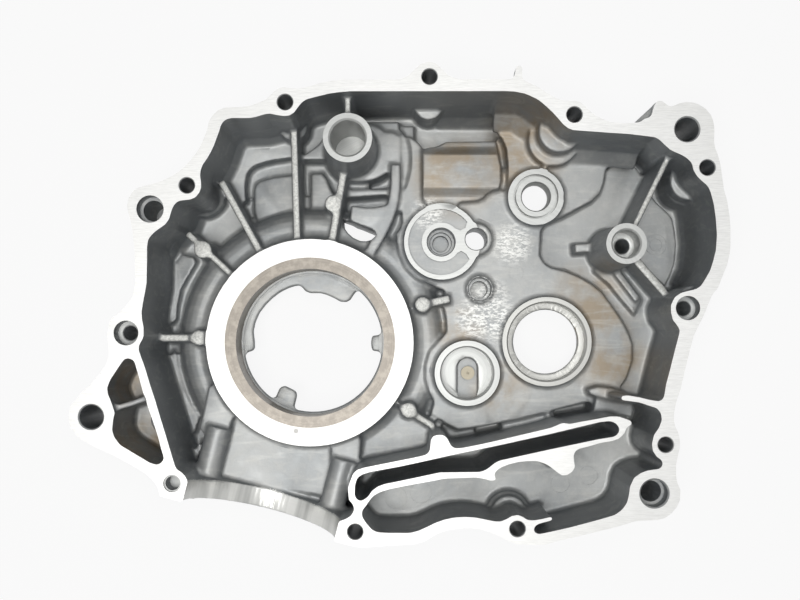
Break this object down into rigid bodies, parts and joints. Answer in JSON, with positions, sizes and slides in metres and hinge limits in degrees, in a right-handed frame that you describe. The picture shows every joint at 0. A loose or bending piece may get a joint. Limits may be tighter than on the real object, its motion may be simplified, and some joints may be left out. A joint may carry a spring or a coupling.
{
  "type": "engine crankcase half",
  "caption": "Die-cast aluminium crankcase half of a small engine: flat joint rim, ribbed main bearing boss with an iron sleeve, gearbox bores, breather slot and half-round cylinder mouth.",
  "frame": {"origin": "on the crank axis, in the plane of the machined ring face at the mouth of the main bearing bore", "axes": "+Z along the crank axis out of the open joint side, +X from the crank axis towards the gearbox end, +Y up, away from the cylinder mouth"},
  "size_m": [0.3046, 0.2233, 0.069],
  "materials": {
    "cast_alloy": "as cast, machined on the joint rim and the bores",
    "sleeve_iron": "fine bored",
    "jet_metal": "dull"
  },
  "bodies": {
    "root": {"crankcase_half": "cast_alloy", "main_bearing_sleeve": "sleeve_iron", "oil_jet": "jet_metal"}
  },
  "joints": []
}
